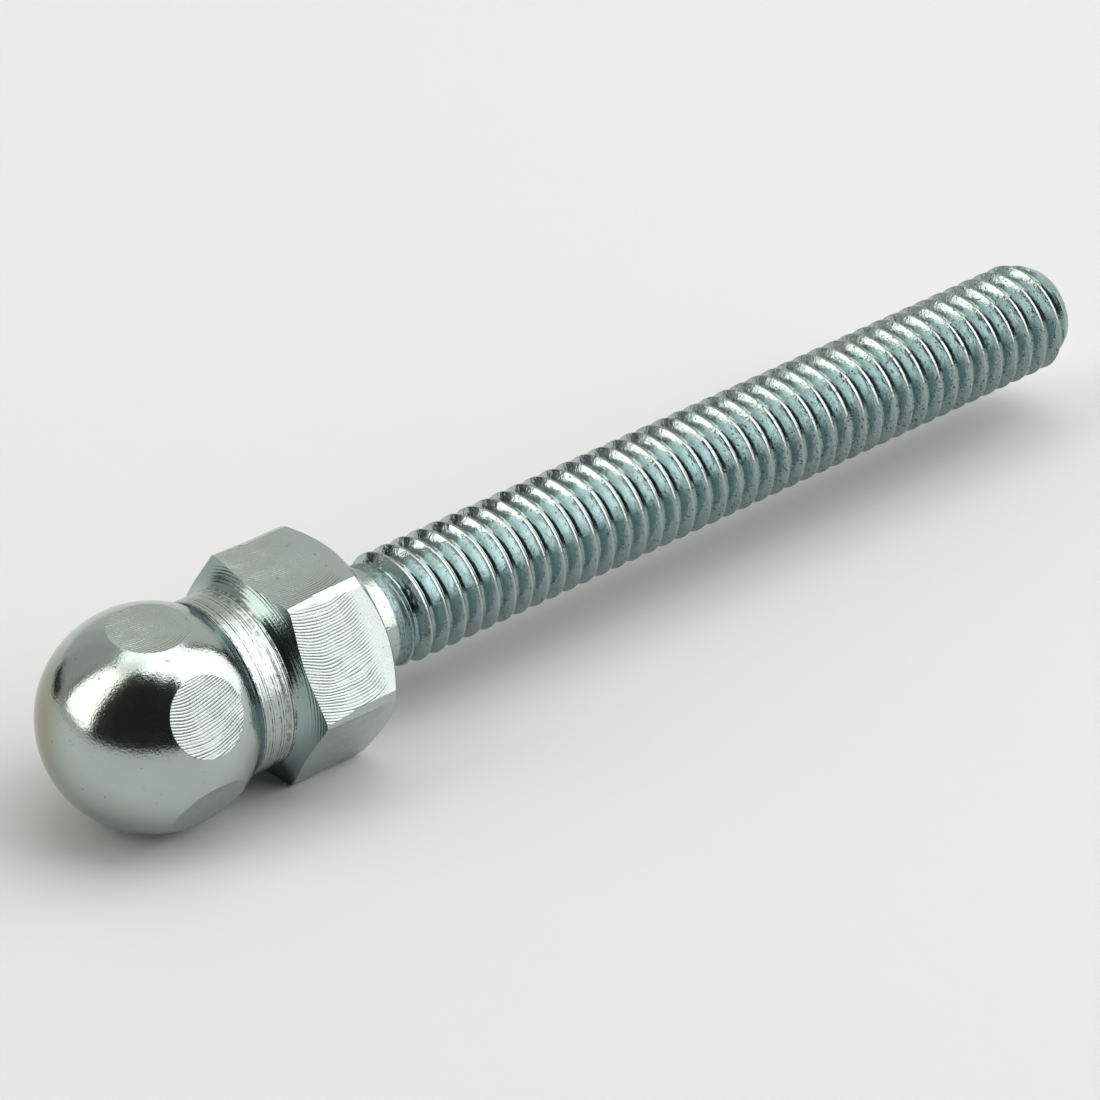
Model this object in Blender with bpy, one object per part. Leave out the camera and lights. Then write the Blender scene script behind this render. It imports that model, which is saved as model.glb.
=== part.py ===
"""Ball-ended adjusting stud: a ball, a hexagon and a 5/16-18 UNC thread, turned from one hexagonal bar.

The stud lies along X with the ball towards -X and one pair of hexagon flats level. Dimensions are in
millimetres. A station is a distance along the axis from the ball's centre towards the thread.
"""

import math

import bmesh
import bpy

MM = 0.001

# Ball and neck
BALL_RADIUS = 7.5
BALL_END_STATION = 3.9
RELIEF_RADIUS = 6.05
RELIEF_START = 4.2
RELIEF_END = 4.4
NECK_RADIUS = 6.15
NECK_START = 4.5
FLARE_START = 7.05
FLARE_ARC_RADIUS = 2.4

# Hexagon
ACROSS_FLATS = 14.0
BAR_RADIUS_FRONT = 8.0
BAR_RADIUS = 7.88
HEX_START = 8.08
BAR_STEP = 10.25
HEX_CORNER_END = 13.78
CHAMFER_END_RADIUS = 6.8
SHOULDER = 14.6

# Rod and thread
SHANK_RADIUS = 3.58
MAJOR_RADIUS = 3.969
MINOR_RADIUS = 3.10
PITCH = 25.4 / 18.0
THREAD_START = 17.69
FADE_START = 0.1
FADE_TURNS = 1.0
FLANK_ANGLE = math.radians(30.0)
END_CHAMFER_START = 76.3
END_FACE = 77.85
END_FACE_RADIUS = 3.055

# Overlaps and clearances of the solids that are joined or cut
PRISM_OVERHANG = 1.0
ROD_OVERLAP = 2.0
ENVELOPE_OVERLAP = 3.0
ENVELOPE_CLEARANCE = 0.4

# Fineness of the facets
HEAD_SEGMENTS = 48
BALL_RINGS = 20
FLARE_POINTS = 6
TURN_SEGMENTS = 18
SHARP_ANGLE = math.radians(28.0)

ORIGIN_STATION = (END_FACE - BALL_RADIUS) / 2.0
AXIS_HEIGHT = ACROSS_FLATS / 2.0
TWO_PI = 2.0 * math.pi


def clear_scene():
    for obj in list(bpy.data.objects):
        bpy.data.objects.remove(obj, do_unlink=True)


def place(station, radius, angle):
    """A point at a station, a radius and an angle from +Y towards +Z, in the part's own frame."""
    x = station - ORIGIN_STATION
    y = radius * math.cos(angle)
    z = AXIS_HEIGHT + radius * math.sin(angle)
    return (x * MM, y * MM, z * MM)


def finish_mesh(bm, name):
    bmesh.ops.recalc_face_normals(bm, faces=bm.faces)
    mesh = bpy.data.meshes.new(name)
    bm.to_mesh(mesh)
    bm.free()
    mesh.shade_smooth()
    mesh.set_sharp_from_angle(angle=SHARP_ANGLE)
    obj = bpy.data.objects.new(name, mesh)
    bpy.context.scene.collection.objects.link(obj)
    return obj


def hide_helper(obj):
    obj.hide_render = True
    obj.display_type = "WIRE"


def add_boolean(obj, operation, other):
    modifier = obj.modifiers.new(other.name, "BOOLEAN")
    modifier.operation = operation
    modifier.solver = "EXACT"
    modifier.object = other


def ring(bm, station, radius, segments):
    angles = [TWO_PI * i / segments for i in range(segments)]
    return [bm.verts.new(place(station, radius, angle)) for angle in angles]


def bridge(bm, first, second):
    count = len(first)
    for i in range(count):
        j = (i + 1) % count
        bm.faces.new((first[i], first[j], second[j], second[i]))


def turn_solid(name, profile, segments):
    """A closed solid of revolution about the axis. The profile's first and last points lie on the axis."""
    bm = bmesh.new()
    first_pole = bm.verts.new(place(profile[0][0], 0.0, 0.0))
    last_pole = bm.verts.new(place(profile[-1][0], 0.0, 0.0))
    rings = [ring(bm, station, radius, segments) for station, radius in profile[1:-1]]
    for first, second in zip(rings, rings[1:]):
        bridge(bm, first, second)
    for i in range(segments):
        j = (i + 1) % segments
        bm.faces.new((first_pole, rings[0][j], rings[0][i]))
        bm.faces.new((last_pole, rings[-1][i], rings[-1][j]))
    return finish_mesh(bm, name)


def ball_points():
    """The ball's outline from its pole to where the neck's relief groove cuts it."""
    end_angle = math.acos(-BALL_END_STATION / BALL_RADIUS)
    angles = [end_angle * i / BALL_RINGS for i in range(BALL_RINGS + 1)]
    return [(-BALL_RADIUS * math.cos(a), BALL_RADIUS * math.sin(a)) for a in angles]


def flare_points():
    """A concave arc from the neck up to the hexagon's corners."""
    rise = BAR_RADIUS_FRONT - NECK_RADIUS
    run = HEX_START - FLARE_START
    chord = math.hypot(run, rise)
    chord_angle = math.atan2(rise, run)
    half_angle = math.asin(chord / 2.0 / FLARE_ARC_RADIUS)
    start_angle = chord_angle - half_angle
    centre_station = FLARE_START - FLARE_ARC_RADIUS * math.sin(start_angle)
    centre_radius = NECK_RADIUS + FLARE_ARC_RADIUS * math.cos(start_angle)
    points = []
    for i in range(FLARE_POINTS + 1):
        angle = start_angle + 2.0 * half_angle * i / FLARE_POINTS
        station = centre_station + FLARE_ARC_RADIUS * math.sin(angle)
        radius = centre_radius - FLARE_ARC_RADIUS * math.cos(angle)
        points.append((station, radius))
    return points


def head_profile():
    profile = ball_points()
    profile += [(RELIEF_START, RELIEF_RADIUS), (RELIEF_END, RELIEF_RADIUS)]
    profile += [(NECK_START, NECK_RADIUS)]
    profile += flare_points()
    profile += [(BAR_STEP, BAR_RADIUS), (HEX_CORNER_END, BAR_RADIUS)]
    profile += [(SHOULDER, CHAMFER_END_RADIUS), (SHOULDER, 0.0)]
    return profile


def make_hexagon():
    """A long hexagonal prism with its flats up and down, which leaves flats on the ball and the head."""
    bm = bmesh.new()
    corner_radius = ACROSS_FLATS / math.sqrt(3.0)
    back = ring(bm, -BALL_RADIUS - PRISM_OVERHANG, corner_radius, 6)
    front = ring(bm, SHOULDER + PRISM_OVERHANG, corner_radius, 6)
    bridge(bm, back, front)
    bm.faces.new(back)
    bm.faces.new(front)
    return finish_mesh(bm, "hexagon_guide")


def thread_section():
    """One pitch of the thread as offsets from the crest's middle, with the radius at each."""
    half_crest = PITCH / 16.0
    flank = (MAJOR_RADIUS - MINOR_RADIUS) * math.tan(FLANK_ANGLE)
    offsets = (-half_crest, half_crest, half_crest + flank, PITCH - half_crest - flank)
    radii = (MAJOR_RADIUS, MAJOR_RADIUS, MINOR_RADIUS, MINOR_RADIUS)
    return list(zip(offsets, radii))


def thread_depth_share(turn, total_turns):
    """How much of the thread's form is there: none on the plain shank, all of it a turn later."""
    start = (turn - FADE_START) / FADE_TURNS
    end = total_turns - turn
    return max(0.0, min(1.0, start, end))


def make_rod():
    """The shank and its helical thread, longer at both ends than the finished rod."""
    bm = bmesh.new()
    section = thread_section()
    steps = math.ceil((END_FACE + 2.0 * PITCH - THREAD_START) / PITCH) * TURN_SEGMENTS
    total_turns = steps / TURN_SEGMENTS
    rows = []
    for step in range(steps + 1):
        turn = step / TURN_SEGMENTS
        share = thread_depth_share(turn, total_turns)
        row = []
        for offset, radius in section:
            station = THREAD_START + turn * PITCH + offset
            blended = SHANK_RADIUS + share * (radius - SHANK_RADIUS)
            row.append(bm.verts.new(place(station, blended, TWO_PI * turn)))
        rows.append(row)
    for step in range(steps):
        here, there = rows[step], rows[step + 1]
        for k in range(3):
            bm.faces.new((here[k], there[k], there[k + 1], here[k + 1]))
    for step in range(steps - TURN_SEGMENTS):
        here, there = rows[step], rows[step + 1]
        above, beyond = rows[step + TURN_SEGMENTS], rows[step + 1 + TURN_SEGMENTS]
        bm.faces.new((here[3], there[3], beyond[0], above[0]))
    close_rod_start(bm, rows)
    close_rod_end(bm, rows, THREAD_START + total_turns * PITCH + PITCH)
    return finish_mesh(bm, "rod_helper")


def close_rod_start(bm, rows):
    """Joins the thread's first turn to a plain shank that ends inside the hexagon."""
    shank = ring(bm, SHOULDER - ROD_OVERLAP, SHANK_RADIUS, TURN_SEGMENTS)
    for i in range(TURN_SEGMENTS - 1):
        bm.faces.new((shank[i], shank[i + 1], rows[i + 1][0], rows[i][0]))
    last = TURN_SEGMENTS - 1
    seam = [shank[last], shank[0]] + rows[0] + [rows[TURN_SEGMENTS][0], rows[last][0]]
    bm.faces.new(seam)
    bm.faces.new(shank)


def close_rod_end(bm, rows, station):
    """Joins the thread's last turn to a plain end past the finished end face."""
    end = ring(bm, station, SHANK_RADIUS, TURN_SEGMENTS)
    base = len(rows) - 1 - TURN_SEGMENTS
    for i in range(1, TURN_SEGMENTS):
        j = (i + 1) % TURN_SEGMENTS
        bm.faces.new((rows[base + i][3], rows[base + i + 1][3], end[j], end[i]))
    seam = [rows[base][3], rows[base + 1][3], end[1], end[0]] + list(reversed(rows[-1]))
    bm.faces.new(seam)
    bm.faces.new(end)


def make_rod_envelope():
    """The rod's outer limit: clear of the crests, then the end chamfer and the flat end face."""
    slope = (MAJOR_RADIUS - END_FACE_RADIUS) / (END_FACE - END_CHAMFER_START)
    clear_radius = MAJOR_RADIUS + ENVELOPE_CLEARANCE
    chamfer_top = END_CHAMFER_START - (clear_radius - MAJOR_RADIUS) / slope
    back = SHOULDER - ENVELOPE_OVERLAP
    profile = [(back, 0.0), (back, clear_radius), (chamfer_top, clear_radius)]
    profile += [(END_FACE, END_FACE_RADIUS), (END_FACE, 0.0)]
    return turn_solid("rod_envelope", profile, HEAD_SEGMENTS)


def zinc_plate_material():
    material = bpy.data.materials.new("zinc_plate")
    material.use_nodes = True
    shader = material.node_tree.nodes["Principled BSDF"]
    shader.inputs["Base Color"].default_value = (0.46, 0.52, 0.50, 1.0)
    shader.inputs["Metallic"].default_value = 1.0
    shader.inputs["Roughness"].default_value = 0.22
    return material


def make_ball_stud():
    envelope = make_rod_envelope()
    rod = make_rod()
    add_boolean(rod, "INTERSECT", envelope)
    hexagon = make_hexagon()
    stud = turn_solid("ball_stud", head_profile(), HEAD_SEGMENTS)
    add_boolean(stud, "INTERSECT", hexagon)
    add_boolean(stud, "UNION", rod)
    stud.data.materials.append(zinc_plate_material())
    for helper in (envelope, rod, hexagon):
        hide_helper(helper)


clear_scene()
make_ball_stud()
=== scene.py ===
import math

import bmesh
import bpy
import numpy as np
from mathutils import Matrix, Vector


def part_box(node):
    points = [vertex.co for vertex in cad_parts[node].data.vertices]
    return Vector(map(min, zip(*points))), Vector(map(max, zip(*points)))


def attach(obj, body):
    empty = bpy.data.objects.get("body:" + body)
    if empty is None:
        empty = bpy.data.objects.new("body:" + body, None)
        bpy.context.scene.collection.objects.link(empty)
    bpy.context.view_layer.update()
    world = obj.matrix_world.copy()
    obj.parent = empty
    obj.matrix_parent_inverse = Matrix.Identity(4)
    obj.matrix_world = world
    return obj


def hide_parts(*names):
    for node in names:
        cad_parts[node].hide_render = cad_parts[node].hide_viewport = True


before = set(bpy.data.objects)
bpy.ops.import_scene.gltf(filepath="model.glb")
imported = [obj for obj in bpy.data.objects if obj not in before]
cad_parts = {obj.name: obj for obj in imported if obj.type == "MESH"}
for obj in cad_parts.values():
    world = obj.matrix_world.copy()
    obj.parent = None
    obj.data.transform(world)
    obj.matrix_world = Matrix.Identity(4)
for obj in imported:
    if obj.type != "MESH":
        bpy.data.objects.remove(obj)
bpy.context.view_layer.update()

mm = 0.001
low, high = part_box("ball_stud")

# Lengths below are millimetres. A station is measured along the stud from the ball's centre.
bar = {
    "ballRadius": 7.5,
    "acrossFlats": 14.0,
}
flatDistance = bar["acrossFlats"] / 2
axisHeight = low.z / mm + flatDistance
ballX = low.x / mm + bar["ballRadius"]
endStation = high.x / mm - ballX


# The view: heading from +X towards +Y, elevation above the horizon, lens on a 36 mm sensor.
camera = {
    "heading": 50.06,
    "elevation": 34.74,
    "roll": 0.70,
    "lens": 198.0,
    "fromBall": (-180.6, -255.2, 229.5),
}


def makeCamera(settings):
    heading = math.radians(settings["heading"])
    elevation = math.radians(settings["elevation"])
    roll = math.radians(settings["roll"])
    forward = Vector((math.cos(heading) * math.cos(elevation),
                      math.sin(heading) * math.cos(elevation),
                      -math.sin(elevation)))
    level = Vector((math.sin(heading), -math.cos(heading), 0.0))
    right = level * math.cos(roll) + level.cross(forward) * math.sin(roll)
    up = right.cross(forward)
    data = bpy.data.cameras.new("studioCamera")
    data.lens = settings["lens"]
    data.sensor_width = 36.0
    data.clip_start = 0.01
    data.clip_end = 30.0
    obj = bpy.data.objects.new("studioCamera", data)
    bpy.context.scene.collection.objects.link(obj)
    place = (Vector((ballX, 0.0, axisHeight)) + Vector(settings["fromBall"])) * mm
    turn = Matrix((right, up, -forward)).transposed()
    obj.matrix_world = Matrix.Translation(place) @ turn.to_4x4()
    bpy.context.scene.camera = obj


makeCamera(camera)
print("camera placed")


def meshFromArrays(name, points, quads, triangles):
    # points is n x 3 in millimetres; quads and triangles are rows of point numbers
    loops = np.concatenate([quads.reshape(-1), triangles.reshape(-1)])
    starts = np.concatenate([np.arange(len(quads)) * 4, quads.size + np.arange(len(triangles)) * 3])
    mesh = bpy.data.meshes.new(name)
    mesh.vertices.add(len(points))
    mesh.vertices.foreach_set("co", (points * mm).astype(np.float32).reshape(-1))
    mesh.loops.add(len(loops))
    mesh.loops.foreach_set("vertex_index", loops.astype(np.int32))
    mesh.polygons.add(len(starts))
    mesh.polygons.foreach_set("loop_start", starts.astype(np.int32))
    mesh.update(calc_edges=True)
    mesh.validate()
    return mesh


def addObject(name, mesh):
    obj = bpy.data.objects.new(name, mesh)
    bpy.context.scene.collection.objects.link(obj)
    return obj


def aroundAxis(station, radius, angle):
    # x is the station, y is radius times cos(angle), z is radius times sin(angle), from the stud's axis
    return np.stack([station + ballX, radius * np.cos(angle), radius * np.sin(angle) + axisHeight], -1)


def gridQuads(numbers):
    # numbers is a table of point numbers; each cell of it is one quad
    corners = [numbers[:-1, :-1], numbers[:-1, 1:], numbers[1:, 1:], numbers[1:, :-1]]
    return np.stack(corners, -1).reshape(-1, 4)


def cutAway(bm, point, normal):
    # cuts the mesh at a plane, drops what lies beyond it and closes the cut with flat faces
    everything = list(bm.verts) + list(bm.edges) + list(bm.faces)
    bmesh.ops.bisect_plane(bm, geom=everything, dist=1e-9, plane_co=point, plane_no=normal,
                           clear_outer=True)
    openEdges = [edge for edge in bm.edges if edge.is_boundary]
    for face in bmesh.ops.holes_fill(bm, edges=openEdges, sides=0)["faces"]:
        face.smooth = False


def cutMesh(mesh, planes, sharpAngle):
    # cuts a mesh at each (point, outward normal) pair, then marks its sharp edges
    bm = bmesh.new()
    bm.from_mesh(mesh)
    for face in bm.faces:
        face.smooth = True
    for point, normal in planes:
        cutAway(bm, point, normal)
    bmesh.ops.recalc_face_normals(bm, faces=bm.faces)
    bm.to_mesh(mesh)
    bm.free()
    mesh.set_sharp_from_angle(angle=math.radians(sharpAngle))
    mesh.validate()


# The head: ball, groove, neck, flare and hexagon, turned as one and then cut by six flats
head = {
    "ballEnd": 3.9,
    "grooveRadius": 6.05,
    "grooveEnd": 4.45,
    "grooveRows": 10,
    "grooveHollow": 0.65,
    "neckStart": 4.5,
    "neckRadius": 6.15,
    "neckEnd": 7.05,
    # turned rings on the neck: station, height, half width
    "rings": ((4.78, -0.003, 0.04), (5.18, -0.005, 0.04), (5.55, -0.003, 0.04), (6.25, -0.014, 0.07),
              (6.50, 0.008, 0.08), (6.72, 0.014, 0.06), (6.88, -0.020, 0.06)),
    "flareArc": 2.4,
    "flareStep": (7.40, -0.012, 0.03),
    "flareRows": 40,
    "frontRadius": 8.0,
    "frontStation": 8.08,
    "rearRadius": 7.88,
    "stepRadius": 7.93,
    "stepStation": 10.25,
    "stepRun": 0.06,
    "chamferStart": 13.72,
    "chamferMiddle": (14.43, 7.0),
    "shoulderRadius": 6.8,
    "shoulder": 14.6,
    "columns": 288,
    "ballRows": 72,
    "rowGap": 0.035,
    "sharpAngle": 13.0,
}


def ridges(stations, marks):
    # each mark adds height times exp(-((station - centre) / half width) squared)
    total = np.zeros_like(stations)
    for centre, height, halfWidth in marks:
        total += height * np.exp(-((stations - centre) / halfWidth) ** 2)
    return total


def straight(first, last, gap):
    # evenly spaced points from first up to, but not including, last
    count = max(1, round(math.dist(first, last) / gap))
    share = np.arange(count)[:, None] / count
    return np.array(first) + share * (np.array(last) - np.array(first))


def flare(settings, count):
    # a concave arc whose centre lies outside the neck, from the neck's end up to the hexagon's corners
    start = np.array([settings["neckEnd"], settings["neckRadius"]])
    rise = np.array([settings["frontStation"], settings["frontRadius"]]) - start
    half = math.asin(np.hypot(*rise) / 2 / settings["flareArc"])
    first = math.atan2(rise[1], rise[0]) - half
    angle = first + 2 * half * np.arange(count) / count
    station = start[0] + settings["flareArc"] * (np.sin(angle) - math.sin(first))
    radius = start[1] + settings["flareArc"] * (math.cos(first) - np.cos(angle))
    return np.stack([station, radius + ridges(station, [settings["flareStep"]])], -1)


def headProfile(settings):
    # station and radius of each row, from just off the ball's pole to the shoulder's rim
    gap = settings["rowGap"]
    ballAngle = math.acos(-settings["ballEnd"] / bar["ballRadius"])
    angle = ballAngle * np.arange(1, settings["ballRows"]) / settings["ballRows"]
    ball = bar["ballRadius"] * np.stack([-np.cos(angle), np.sin(angle)], -1)
    ballEndRadius = math.sqrt(bar["ballRadius"] ** 2 - settings["ballEnd"] ** 2)
    # the groove falls from the ball's end by a blend of a straight line and a parabola
    left = 1 - np.arange(settings["grooveRows"]) / settings["grooveRows"]
    grooveStation = settings["grooveEnd"] - left * (settings["grooveEnd"] - settings["ballEnd"])
    fall = settings["grooveHollow"] * left ** 2 + (1 - settings["grooveHollow"]) * left
    grooveRise = (ballEndRadius - settings["grooveRadius"]) * fall
    groove = np.stack([grooveStation, settings["grooveRadius"] + grooveRise], -1)
    wall = straight((settings["grooveEnd"], settings["grooveRadius"]),
                    (settings["neckStart"], settings["neckRadius"]), gap)
    neck = straight((settings["neckStart"], settings["neckRadius"]),
                    (settings["neckEnd"], settings["neckRadius"]), gap)
    neck[:, 1] += ridges(neck[:, 0], settings["rings"])
    step = (settings["stepStation"], settings["stepRadius"])
    afterStep = (settings["stepStation"] + settings["stepRun"], settings["rearRadius"])
    chamferStart = (settings["chamferStart"], settings["rearRadius"])
    rim = (settings["shoulder"], settings["shoulderRadius"])
    lands = [straight((settings["frontStation"], settings["frontRadius"]), step, 0.3),
             straight(step, afterStep, gap),
             straight(afterStep, chamferStart, 0.4),
             straight(chamferStart, settings["chamferMiddle"], 0.15),
             straight(settings["chamferMiddle"], rim, 0.1)]
    turned = [ball, groove, wall, neck, flare(settings, settings["flareRows"])]
    return np.concatenate(turned + lands + [[rim]])


def turnedMesh(name, profile, firstPole, lastPole, columns):
    # each row of the profile swept once round the axis, closed by a fan at either end
    angle = 2 * np.pi * np.arange(columns) / columns
    rows = len(profile)
    station, radius = profile[:, :1], profile[:, 1:]
    ringPoints = aroundAxis(station + 0 * angle, radius + 0 * angle, angle + 0 * station)
    poles = aroundAxis(np.array([firstPole, lastPole]), np.zeros(2), np.zeros(2))
    points = np.concatenate([ringPoints.reshape(-1, 3), poles])
    numbers = np.arange(rows * columns).reshape(rows, columns)
    numbers = np.concatenate([numbers, numbers[:, :1]], 1)
    start = np.full(columns, rows * columns)
    fans = [np.stack([start, numbers[0, 1:], numbers[0, :-1]], -1),
            np.stack([start + 1, numbers[-1, :-1], numbers[-1, 1:]], -1)]
    return meshFromArrays(name, points, gridQuads(numbers), np.concatenate(fans))


def hexPlanes(distance):
    # six planes at the same distance from the axis, the first one level on top
    planes = []
    for number in range(6):
        angle = math.radians(90 + 60 * number)
        normal = Vector((0.0, math.cos(angle), math.sin(angle)))
        planes.append((Vector((0.0, 0.0, axisHeight * mm)) + normal * distance * mm, normal))
    return planes


def makeHead(settings):
    mesh = turnedMesh("studHead", headProfile(settings), -bar["ballRadius"], settings["shoulder"],
                      settings["columns"])
    cutMesh(mesh, hexPlanes(flatDistance), settings["sharpAngle"])
    return addObject("studHead", mesh)


studHead = makeHead(head)
print("head turned and cut to a hexagon:", len(studHead.data.polygons), "faces")


# The rod: plain shank and rolled thread on one grid that follows the helix
rod = {
    "start": 13.2,
    "shankRadius": 3.58,
    "pitch": 25.4 / 18,
    "crestRadius": 3.969,
    "crestHalfWidth": 0.076,
    "crestRound": 0.012,
    "rootRadius": 3.10,
    "rootRound": 0.18,
    "flankAngle": 30.0,
    "threadStart": 17.69,
    "fadeStart": 0.1,
    "fadeTurns": 1.0,
    "endChamferStart": 76.3,
    "endRadius": 3.055,
    "leastRadius": 0.5,
    "columns": 66,
    # places across half a pitch, from the crest's middle to the root's middle, as shares of half a pitch
    "places": (0.0, 0.06, 0.096, 0.106, 0.116, 0.14, 0.28, 0.46, 0.64, 0.76, 0.82, 0.88, 0.94),
    "sharpAngle": 40.0,
}


def threadRadius(settings, offset):
    # the lower of the crest and the flanks, joined by a small round, and a round root between two flanks;
    # offset is measured along the stud from the crest's middle
    slope = 1 / math.tan(math.radians(settings["flankAngle"]))
    flank = settings["crestRadius"] - slope * (np.abs(offset) - settings["crestHalfWidth"])
    gap = settings["crestRadius"] - flank
    soft = settings["crestRound"]
    crested = settings["crestRadius"] - (gap + np.sqrt(gap ** 2 + soft ** 2)) / 2
    fromRoot = settings["pitch"] / 2 - np.abs(offset)
    reach = settings["rootRound"] * math.cos(math.radians(settings["flankAngle"]))
    inside = np.clip(settings["rootRound"] ** 2 - fromRoot ** 2, 0, None)
    root = settings["rootRadius"] + settings["rootRound"] - np.sqrt(inside)
    return np.where(fromRoot < reach, root, crested)


def makeRod(settings):
    # station is the row's place plus one pitch for each turn, so rows follow the helix;
    # radius goes from the plain shank's to the thread's over the first turn, and stays inside the chamfer
    pitch = settings["pitch"]
    half = np.array(settings["places"]) * pitch / 2
    offsets = np.concatenate([[-pitch / 2], -half[:0:-1], half])
    perPitch = len(offsets)
    turnsBefore = math.ceil((settings["threadStart"] - settings["start"]) / pitch) + 2
    turnsAfter = math.ceil((endStation - settings["threadStart"]) / pitch) + 2
    crests = settings["threadStart"] + pitch * np.arange(-turnsBefore, turnsAfter)
    rowStation = (crests[:, None] + offsets).reshape(-1)
    rowOffset = np.tile(offsets, len(crests))
    columns = settings["columns"]
    turn = np.arange(columns) / columns
    station = rowStation[:, None] + pitch * turn
    start = (station - settings["threadStart"]) / pitch - settings["fadeStart"]
    share = np.clip(start / settings["fadeTurns"], 0, 1)
    share = share * share * (3 - 2 * share)
    shank, crest = settings["shankRadius"], settings["crestRadius"]
    radius = shank + share * (threadRadius(settings, rowOffset)[:, None] - shank)
    slope = (crest - settings["endRadius"]) / (endStation - settings["endChamferStart"])
    radius = np.minimum(radius, crest - slope * (station - settings["endChamferStart"]))
    radius = np.maximum(radius, settings["leastRadius"])  # past the end face, cut away below
    points = aroundAxis(station, radius, 2 * np.pi * turn + 0 * station).reshape(-1, 3)
    numbers = np.arange(station.size).reshape(station.shape)
    across = gridQuads(numbers)
    seam = gridQuads(np.stack([numbers[:-perPitch, -1], numbers[perPitch:, 0]], -1))
    mesh = meshFromArrays("threadedRod", points, np.concatenate([across, seam]), np.zeros((0, 3), int))
    planes = [(Vector(((settings["start"] + ballX) * mm, 0, 0)), Vector((-1, 0, 0))),
              (Vector((high.x, 0, 0)), Vector((1, 0, 0)))]
    cutMesh(mesh, planes, settings["sharpAngle"])
    return addObject("threadedRod", mesh)


threadedRod = makeRod(rod)
print("rod threaded:", len(threadedRod.data.polygons), "faces")


# Materials: a Wire is a socket whose arithmetic adds Math nodes
class Wire:
    def __init__(self, shader, socket):
        self.shader = shader
        self.socket = socket

    def math(self, operation, *values):
        sockets = dict(enumerate((self,) + values))
        return self.shader.add("ShaderNodeMath", {"operation": operation}, sockets)

    def __add__(self, other):
        return self.math("ADD", other)

    def __radd__(self, other):
        return self.math("ADD", other)

    def __sub__(self, other):
        return self.math("SUBTRACT", other)

    def __rsub__(self, other):
        return self.shader.add("ShaderNodeMath", {"operation": "SUBTRACT"}, {0: other, 1: self})

    def __mul__(self, other):
        return self.math("MULTIPLY", other)

    def __rmul__(self, other):
        return self.math("MULTIPLY", other)

    def __truediv__(self, other):
        return self.math("DIVIDE", other)

    def ramp(self, first, last):
        # 0 below first, 1 above last, and a smooth rise between them
        settings = {"interpolation_type": "SMOOTHSTEP"}
        sockets = {0: self, 1: first, 2: last, 3: 0.0, 4: 1.0}
        return self.shader.add("ShaderNodeMapRange", settings, sockets)

    def band(self, first, last, soft):
        # 1 between first and last, 0 outside, with soft edges
        return self.ramp(first - soft, first + soft) * (1 - self.ramp(last - soft, last + soft))


class Shader:
    def __init__(self, name):
        self.material = bpy.data.materials.new(name)
        self.material.use_nodes = True
        self.tree = self.material.node_tree
        self.principled = self.tree.nodes["Principled BSDF"]

    def put(self, socket, value):
        if isinstance(value, Wire):
            self.tree.links.new(value.socket, socket)
        else:
            socket.default_value = value

    def add(self, kind, settings, sockets, output=0):
        node = self.tree.nodes.new(kind)
        for name, value in settings.items():
            setattr(node, name, value)
        for key, value in sockets.items():
            self.put(node.inputs[key], value)
        return Wire(self, node.outputs[output])

    def mixColour(self, factor, first, second):
        return self.add("ShaderNodeMix", {"data_type": "RGBA"}, {0: factor, 6: first, 7: second}, 2)

    def noise(self, vector, scale, detail=2.0, roughness=0.5):
        sockets = {"Vector": vector, "Scale": scale, "Detail": detail, "Roughness": roughness}
        return self.add("ShaderNodeTexNoise", {"noise_dimensions": "3D"}, sockets)

    def lineNoise(self, value, scale, detail=2.0):
        sockets = {"W": value, "Scale": scale, "Detail": detail, "Roughness": 0.6}
        return self.add("ShaderNodeTexNoise", {"noise_dimensions": "1D"}, sockets)

    def combine(self, x, y, z):
        return self.add("ShaderNodeCombineXYZ", {}, {0: x, 1: y, 2: z})

    def studSpace(self):
        # position in millimetres: along the stud from the ball's centre, and across it from the axis
        place = self.add("ShaderNodeTexCoord", {}, {}, "Object")
        split = self.tree.nodes.new("ShaderNodeSeparateXYZ")
        self.put(split.inputs[0], place)
        x, y, z = (Wire(self, socket) for socket in split.outputs)
        return x / mm - ballX, y / mm, z / mm - axisHeight

    def bump(self, height, edgeRadius=0.0):
        # height is in millimetres; edgeRadius rounds the shading of sharp edges
        sockets = {"Strength": 1.0, "Distance": mm, "Height": height}
        if edgeRadius:
            sockets["Normal"] = self.add("ShaderNodeBevel", {"samples": 4}, {"Radius": edgeRadius * mm})
        return self.add("ShaderNodeBump", {}, sockets)

    def finish(self, colour, roughness, normal):
        self.principled.inputs["Metallic"].default_value = 1.0
        self.put(self.principled.inputs["Base Color"], colour)
        self.put(self.principled.inputs["Roughness"], roughness)
        self.put(self.principled.inputs["Normal"], normal)
        return self.material


zinc = {
    "plate": (0.43, 0.485, 0.445, 1.0),
    "cool": (0.465, 0.57, 0.575, 1.0),
    "blue": (0.20, 0.29, 0.33, 1.0),
    "teal": (0.20, 0.30, 0.29, 1.0),
    "brown": (0.14, 0.145, 0.11, 1.0),
    "straw": (0.27, 0.25, 0.175, 1.0),
    "cream": (0.38, 0.405, 0.36, 1.0),
    "dark": (0.07, 0.085, 0.085, 1.0),
}

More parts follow.
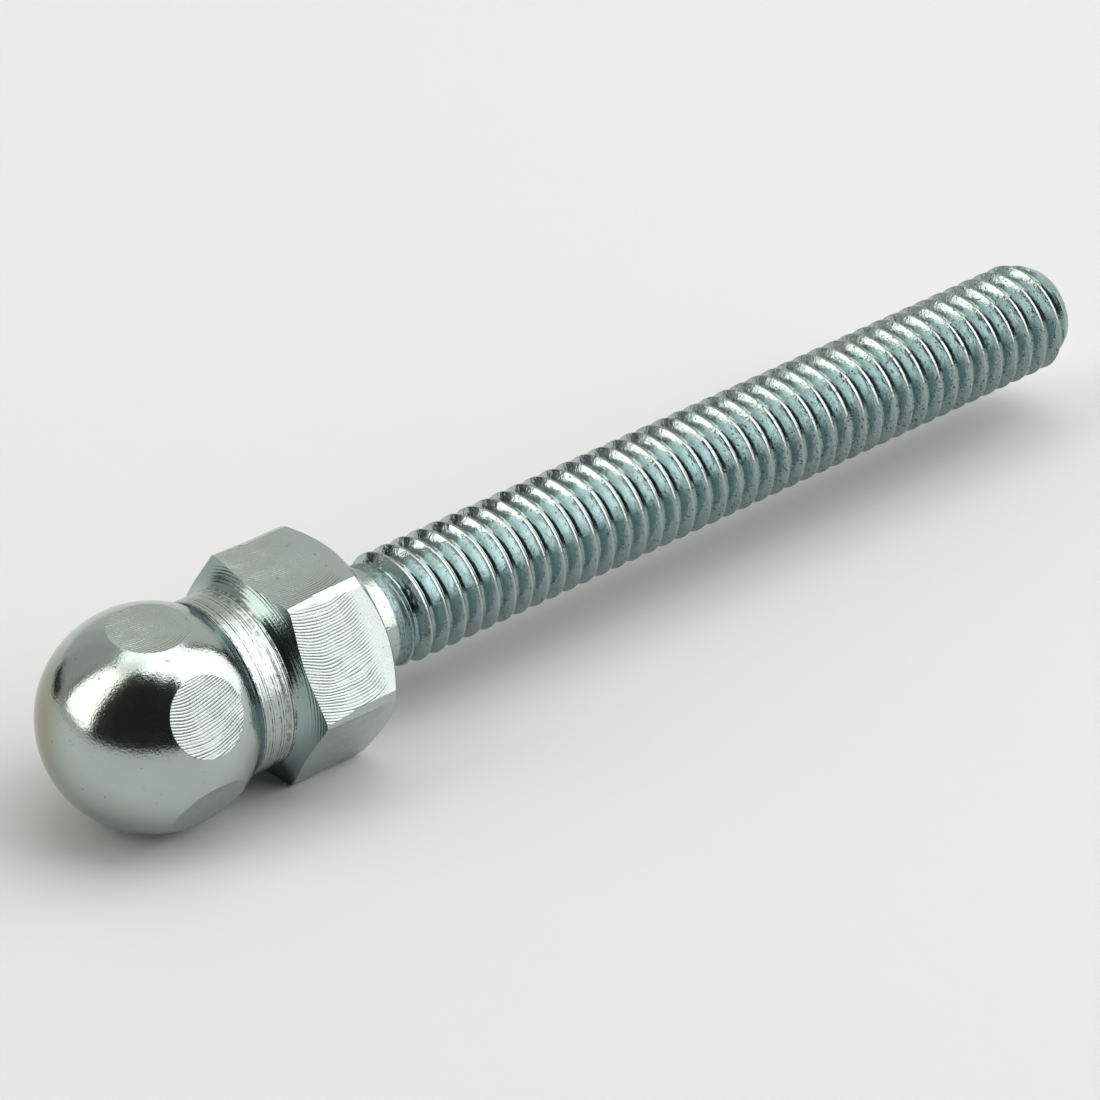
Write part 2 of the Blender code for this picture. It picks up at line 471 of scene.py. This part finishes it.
headFinish = {
    "ballRoughness": 0.15,
    "neckRoughness": 0.22,
    "flareRoughness": 0.19,
    "flatRoughness": 0.24,
    "roughCloud": 0.10,
    # where each finish begins and ends, as stations, with the softness of its edges
    "ballToNeck": (3.85, 3.95),
    "ballSkirt": (3.2, 3.9, 0.15),
    "groove": (3.88, 4.47, 0.05),
    "neck": (4.45, 7.1, 0.04),
    "flare": (7.05, 8.1, 0.05),
    "stains": ((6.2, 6.6, 0.05, 0.40), (6.83, 7.06, 0.04, 0.7)),
    # milled arcs; their pass has its middle at one station on the ball and at another on the hexagon
    "millGap": 0.205,
    "millArc": 5.6,
    "millDepth": 0.011,
    "millMiddle": (-0.6, 10.6),
    "millWander": 0.6,
    "millUneven": 0.7,
    "millFade": (12.3, 13.4, 0.75),
    # painted shade in the milled furrows: where it starts, then its strength on every flat, on the front
    # pair and extra on the ball
    "furrowEdge": (0.05, 0.42),
    "furrowShade": (0.06, 0.68, 0.14),
    # turned rings
    "ballTurnDepth": 0.0016,
    "neckTurnDepth": 0.0038,
    "turnScale": 7.5,
    "flareGap": 0.19,
    "flareDepth": 0.0105,
    "waveDepth": 0.012,
    "grain": 0.009,
    "grainScale": 6.0,
    "edgeRadius": 0.05,
}


def headMaterial(settings):
    shader = Shader("zincHead")
    station, across, upward = shader.studSpace()
    radius = (across * across + upward * upward).math("SQRT")
    angle = upward.math("ARCTAN2", across)
    sixth = math.pi / 3
    fromFlat = angle.math("WRAP", sixth, 0.0) - sixth / 2
    onFlat = (radius * fromFlat.math("COSINE")).ramp(flatDistance - 0.012, flatDistance - 0.006)
    turned = 1 - onFlat
    acrossFlat = radius * fromFlat.math("SINE")
    place = shader.combine(station, across, upward)
    onBall = 1 - station.ramp(*settings["ballToNeck"])
    onNeck = 1 - onBall
    onFlare = turned * station.band(*settings["flare"])
    inGroove = station.band(*settings["groove"])
    # milled arcs: lines of equal (across the flat + distance from the pass's middle squared / twice arc)
    ballMiddle, hexMiddle = settings["millMiddle"]
    middle = (station - hexMiddle) * onNeck + (station - ballMiddle) * onBall
    wander = shader.noise(place, 0.35, 1.0) * settings["millWander"]
    arc = acrossFlat + middle * middle / (2 * settings["millArc"]) + wander
    lines = (arc * (2 * math.pi / settings["millGap"])).math("SINE") * 0.5
    uneven = shader.lineNoise(arc, 1.4 / settings["millGap"], 2.0) - 0.5
    worn = shader.noise(place, 0.8, 2.0).ramp(0.35, 0.62)
    fadeStart, fadeEnd, faded = settings["millFade"]
    fading = 1 - station.ramp(fadeStart, fadeEnd) * faded
    mill = (lines * (0.6 + 0.4 * worn) + uneven * settings["millUneven"]) * fading
    # turned rings: lines of equal (station + radius)
    along = station + radius
    turnDepth = onBall * settings["ballTurnDepth"] + onNeck * settings["neckTurnDepth"]
    ringNoise = shader.lineNoise(along, settings["turnScale"], 3.0)
    rings = (ringNoise - 0.5) * turnDepth
    feed = (radius * (2 * math.pi / settings["flareGap"])).math("SINE") * 0.5
    feed = feed * settings["flareDepth"] * onFlare
    grain = (shader.noise(place, settings["grainScale"], 2.0) - 0.5) * settings["grain"]
    waves = (shader.noise(place, 1.1, 2.0) - 0.5) * settings["waveDepth"]
    height = onFlat * mill * settings["millDepth"] + turned * (rings + feed + waves) + grain
    # a clear to bluish film, straw painted on one side of the ball as a painted warm reflection, teal on
    # the flare and blue film in the groove darkened as painted shade
    tint = shader.noise(place, 0.25, 3.0).ramp(0.35, 0.7)
    colour = shader.mixColour(tint * 0.35, zinc["plate"], zinc["cool"])
    # painted reflection: straw colour on the ball's side towards the camera's left, standing in for a
    # warm reflection there
    toSide = (across * 0.64 - station * 0.77) / bar["ballRadius"]
    warmReflectionSide = toSide.ramp(0.62, 0.97) * onBall
    colour = shader.mixColour(warmReflectionSide * 0.95, colour, zinc["straw"])
    colour = shader.mixColour(onFlare * 0.60, colour, zinc["teal"])
    # painted shade: the groove's blue film is darkened, standing in for the shade in this recess
    colour = shader.mixColour(inGroove * 0.85, colour, zinc["blue"])
    skirt = turned * station.band(*settings["ballSkirt"])
    colour = shader.mixColour(skirt * 0.35, colour, zinc["teal"])
    # dark broken hairlines painted on the neck as painted shade of its turned grooves, and two brown
    # bands before the flare
    hairlineShade = ringNoise.ramp(0.50, 0.60) * turned * station.band(*settings["neck"])
    broken = shader.noise(place, 2.6, 2.0).ramp(0.42, 0.58)
    colour = shader.mixColour(hairlineShade * (0.36 + 0.58 * broken), colour, zinc["dark"])
    stained = 0.0
    for first, last, soft, strength in settings["stains"]:
        stained = station.band(first, last, soft) * strength + stained
    colour = shader.mixColour(stained * turned * broken, colour, zinc["brown"])
    # painted shade in the milled furrows, strongest on the pair of flats that holds the flat facing the
    # camera
    frontPair = (upward * 0.5 - across * math.cos(sixth / 2)).math("ABSOLUTE").ramp(4.5, 6.5)
    everyFlat, frontPairShade, ballExtra = settings["furrowShade"]
    furrow = (mill * -1).ramp(*settings["furrowEdge"]) * onFlat
    furrow = furrow * (everyFlat + frontPair * (frontPairShade + ballExtra * onBall))
    colour = shader.mixColour(furrow, colour, zinc["dark"])
    pits = shader.noise(place, 3.2, 3.0).ramp(0.70, 0.74)
    colour = shader.mixColour(pits * 0.7, colour, zinc["dark"])
    roundRoughness = onBall * settings["ballRoughness"] + onNeck * settings["neckRoughness"]
    roundRoughness = roundRoughness + onFlare * (settings["flareRoughness"] - settings["neckRoughness"])
    cloud = (shader.noise(place, 1.2, 3.0) - 0.5) * settings["roughCloud"]
    roughness = onFlat * settings["flatRoughness"] + turned * roundRoughness + cloud
    return shader.finish(colour, roughness, shader.bump(height, settings["edgeRadius"]))


rodFinish = {
    "roughness": 0.16,
    "roughCloud": 0.16,
    "runInRoughness": 0.30,
    "dullRoughness": 0.055,
    # stations where the thread begins, where it runs in, and where it turns dull
    "threadBegins": (17.2, 18.6),
    "runIn": (17.45, 18.45, 0.07),
    "dull": (26, 56),
    # radii where the root's painted shade fades out and the crest's painted cream tint begins
    "root": (3.2, 3.7),
    "crest": (3.93, 3.96),
    "mottle": 0.030,
    "grain": 0.010,
    "turnDepth": 0.004,
    "endTurnDepth": 0.010,
    "scratchDepth": 0.016,
}


def rodMaterial(settings):
    shader = Shader("zincThread")
    station, across, upward = shader.studSpace()
    radius = (across * across + upward * upward).math("SQRT")
    place = shader.combine(station, across, upward)
    threaded = station.ramp(*settings["threadBegins"])
    dull = station.ramp(*settings["dull"])
    runIn = station.band(*settings["runIn"])
    onEnd = station.ramp(endStation - 0.05, endStation - 0.02)
    # relief: soft mottle and grain, turned rings on the shank and the end face, scratches on the run-in
    mottle = (shader.noise(place, 2.0, 2.0) - 0.5) * settings["mottle"] * (0.25 + 0.75 * threaded)
    grain = (shader.noise(place, 5.0, 2.0) - 0.5) * settings["grain"] * (1 + dull * 0.9)
    rings = (shader.lineNoise(station, 9.0, 3.0) - 0.5) * settings["turnDepth"] * (1 - threaded)
    endRings = (shader.lineNoise(radius, 5.0, 3.0) - 0.5) * settings["endTurnDepth"] * onEnd
    scored = shader.noise(shader.combine(station * 4, across, upward), 2.5, 3.0) - 0.5
    height = mottle + grain + rings + endRings + scored * settings["scratchDepth"] * runIn
    # a bluish film, with teal painted shade in the root and underneath, and a cream tint painted on the
    # crests for the colour of their highlights
    tint = shader.noise(place, 0.5, 3.0).ramp(0.35, 0.7)
    colour = shader.mixColour(threaded * (0.55 + tint * 0.45), zinc["plate"], zinc["cool"])
    # painted shade: the thread's roots are darkened towards teal
    inRoot = 1 - radius.ramp(*settings["root"])
    colour = shader.mixColour(inRoot * threaded * 0.55, colour, zinc["teal"])
    # painted shade: the thread's downward-facing side is darkened towards teal
    underneath = 1 - (upward / radius).ramp(0.33, 0.50)
    colour = shader.mixColour(underneath * threaded * 0.40, colour, zinc["teal"])
    # painted highlight colour: the crests are tinted cream, the colour of their highlights
    onCrest = radius.ramp(*settings["crest"])
    colour = shader.mixColour(onCrest * threaded * 0.7, colour, zinc["cream"])
    # the run-in, darkened teal as painted shade, with its dark scratches; the dull far half, pits and
    # stains
    colour = shader.mixColour(runIn * 0.85, colour, zinc["teal"])
    darkScores = shader.noise(shader.combine(station * 5, across, upward), 2.8, 3.0).ramp(0.48, 0.60)
    colour = shader.mixColour(darkScores * runIn * 0.7, colour, zinc["dark"])
    colour = shader.mixColour(dull * 0.12, colour, zinc["teal"])
    pits = (shader.noise(place, 4.6, 1.0) + dull * 0.05).ramp(0.69, 0.74) * (1 - onEnd * 0.8)
    colour = shader.mixColour(pits * 0.9, colour, zinc["dark"])
    stains = shader.noise(place, 1.3, 4.0).ramp(0.56, 0.70)
    colour = shader.mixColour(stains * threaded * 0.24, colour, zinc["dark"])
    cloud = (shader.noise(place, 1.5, 3.0) - 0.5) * settings["roughCloud"]
    roughness = settings["roughness"] + cloud + runIn * settings["runInRoughness"]
    roughness = roughness + dull * settings["dullRoughness"]
    return shader.finish(colour, roughness, shader.bump(height))


studHead.data.materials.append(headMaterial(headFinish))
threadedRod.data.materials.append(rodMaterial(rodFinish))
print("materials made")


# The studio: a pale floor, and panels and black flags that only show in the metal
studio = {
    "reach": 1200.0,
    "floorReach": 1150.0,
    "floorColour": (0.69, 0.71, 0.705, 1.0),
    "roomLight": 0.47,
    "skySeen": 0.90,
    "floorSides": 96,
    "tints": {
        "clear": (1.0, 0.965, 0.985, 1.0),
        "green": (1.0, 1.01, 0.96, 1.0),
        "warm": (1.0, 0.96, 0.88, 1.0),
    },
    # name, azimuths from +X towards +Y, elevations, brightness, share of the reach, tint
    "panels": (
        ("keyPanelLow", (-72, 3), (3, 24), 2.05, 1.0, "clear"),
        ("keyPanel", (-72, 3), (24, 62), 3.1, 1.0, "clear"),
        ("keyPanelTop", (-72, 3), (62, 90), 2.3, 1.0, "clear"),
        ("topPanel", (3, 70), (55, 90), 2.3, 1.0, "clear"),
        ("topPanelBack", (70, 136), (62, 90), 2.0, 1.0, "green"),
        ("leftPanel", (136, 170), (7, 60), 2.6, 1.0, "warm"),
        ("leftPanelTop", (136, 170), (60, 90), 1.5, 1.0, "warm"),
        ("frontPanel", (170, 288), (70, 90), 2.4, 1.0, "clear"),
        ("blackFlag", (172, 262), (3, 77), 0.022, 0.99, "clear"),
        ("blackFlagSide", (262, 292), (3, 66), 0.022, 0.99, "clear"),
        ("keyEdge", (2, 9), (6, 52), 0.05, 0.98, "clear"),
        ("leftEdge", (129, 135), (5, 58), 0.16, 0.98, "warm"),
        ("nearShade", (113, 134), (-2.5, 7), 0.005, 0.13, "clear"),
        ("backGlow", (9, 62), (0, 55), 0.71, 1.0, "green"),
        ("backGlowMiddle", (62, 82), (0, 62), 0.66, 1.0, "green"),
        ("backGlowEnd", (82, 98), (0, 62), 0.56, 1.0, "clear"),
    ),
}


def plainMaterial(name, colour, brightness=None):
    material = bpy.data.materials.new(name)
    material.use_nodes = True
    nodes = material.node_tree.nodes
    shader = nodes["Principled BSDF"]
    shader.inputs["Base Color"].default_value = colour
    shader.inputs["Roughness"].default_value = 0.9
    if brightness is not None:
        glow = nodes.new("ShaderNodeEmission")
        glow.inputs["Color"].default_value = colour
        glow.inputs["Strength"].default_value = brightness
        material.node_tree.links.new(glow.outputs[0], nodes["Material Output"].inputs[0])
        nodes.remove(shader)
    return material


def skyPatch(name, azimuths, elevations, brightness, reach, tint):
    # a patch of a large sphere round the stud, between two azimuths and two elevations
    azimuth = np.radians(np.linspace(*azimuths, 25))[:, None]
    elevation = np.radians(np.linspace(*elevations, 17))[None, :]
    x = np.cos(elevation) * np.cos(azimuth)
    y = np.cos(elevation) * np.sin(azimuth)
    z = np.sin(elevation) + 0 * azimuth
    points = (np.stack([x, y, z], -1) * reach + [0, 0, axisHeight]).reshape(-1, 3)
    quads = gridQuads(np.arange(len(points)).reshape(x.shape))
    mesh = meshFromArrays(name, points, quads, np.zeros((0, 3), int))
    mesh.materials.append(plainMaterial(name, tint, brightness))
    obj = addObject(name, mesh)
    obj.visible_camera = False
    # a near flag darkens only reflections, and throws no shadow on the floor
    if reach < studio["reach"] / 2:
        obj.visible_diffuse = False
        obj.visible_shadow = False


def makeStudio(settings):
    for name, azimuths, elevations, brightness, share, tint in settings["panels"]:
        reach = settings["reach"] * share
        skyPatch(name, azimuths, elevations, brightness, reach, settings["tints"][tint])
    # the floor is a round disc at the stud's lowest point: one wedge from its middle for each side
    side = np.arange(settings["floorSides"])
    turn = 2 * math.pi * side / settings["floorSides"]
    rim = np.stack([np.cos(turn), np.sin(turn), 0 * turn], -1) * settings["floorReach"]
    points = np.concatenate([[[0, 0, 0]], rim]) + [0, 0, low.z / mm]
    wedges = np.stack([0 * side, side + 1, (side + 1) % settings["floorSides"] + 1], -1)
    mesh = meshFromArrays("floor", points, np.zeros((0, 4), int), wedges)
    mesh.materials.append(plainMaterial("paleFloor", settings["floorColour"]))
    addObject("floor", mesh)
    world = bpy.data.worlds.new("room")
    world.use_nodes = True
    nodes = world.node_tree.nodes
    links = world.node_tree.links
    room = nodes["Background"]
    room.inputs["Color"].default_value = (1.0, 1.0, 1.0, 1.0)
    room.inputs["Strength"].default_value = settings["roomLight"]
    seen = nodes.new("ShaderNodeBackground")
    seen.inputs["Strength"].default_value = settings["skySeen"]
    seen.inputs["Color"].default_value = (1.0, 1.0, 1.0, 1.0)
    rays = nodes.new("ShaderNodeLightPath")
    mix = nodes.new("ShaderNodeMixShader")
    links.new(rays.outputs["Is Camera Ray"], mix.inputs[0])
    links.new(room.outputs[0], mix.inputs[1])
    links.new(seen.outputs[0], mix.inputs[2])
    links.new(mix.outputs[0], nodes["World Output"].inputs[0])
    bpy.context.scene.world = world
    bpy.context.scene.view_settings.view_transform = "Standard"


makeStudio(studio)
print("studio lit")

for piece in (studHead, threadedRod):
    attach(piece, "root")
    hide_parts("ball_stud")
